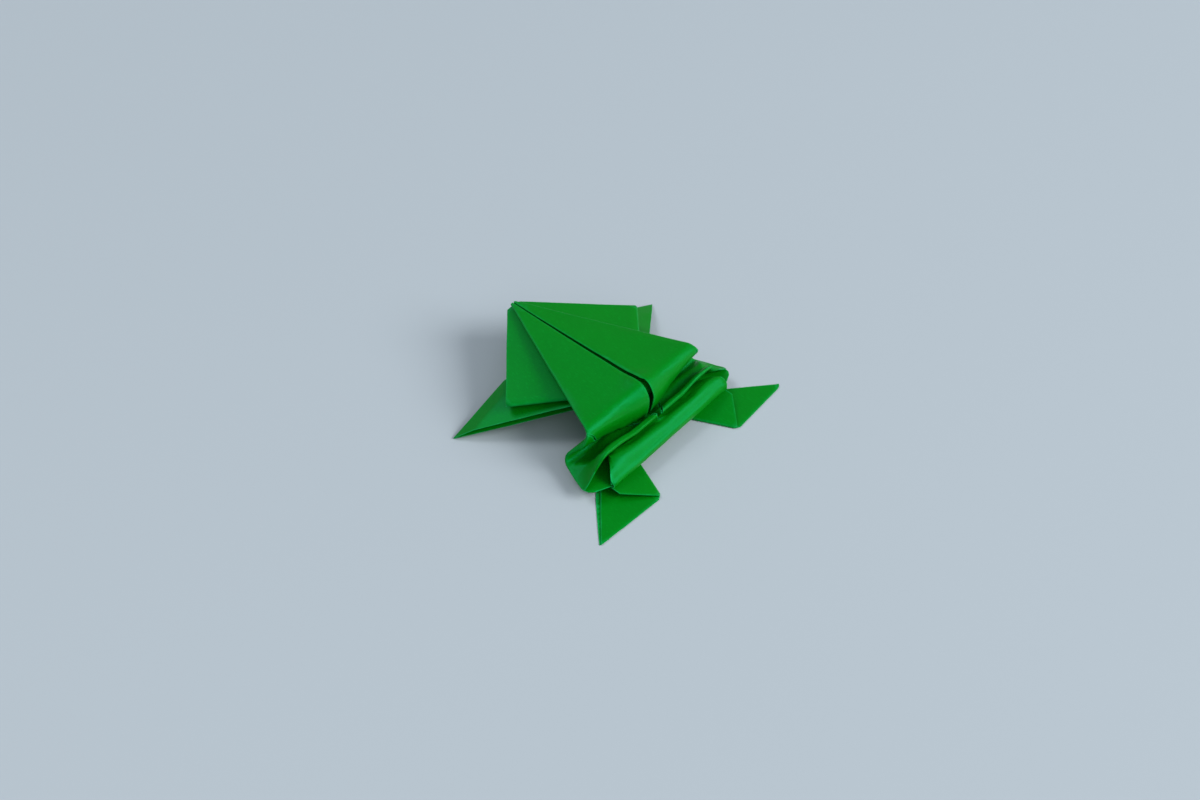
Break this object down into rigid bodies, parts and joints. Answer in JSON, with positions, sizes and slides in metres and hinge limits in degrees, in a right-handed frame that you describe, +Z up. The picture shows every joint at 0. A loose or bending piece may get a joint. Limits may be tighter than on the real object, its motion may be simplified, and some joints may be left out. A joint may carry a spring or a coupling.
{
  "type": "origami frog",
  "caption": "Jumping frog folded from a strip of green paper, with a pleated back and flat feet that stand on a table.",
  "frame": {"origin": "middle of the frog's footprint, on the table that it stands on", "axes": "+Z up, -Y towards the nose, +X to the frog's left"},
  "size_m": [0.0558, 0.0504, 0.013],
  "materials": {
    "green_paper": "matt dyed paper, worn pale along its creases"
  },
  "bodies": {
    "root": {"folded_sheet": "green_paper"}
  },
  "joints": []
}
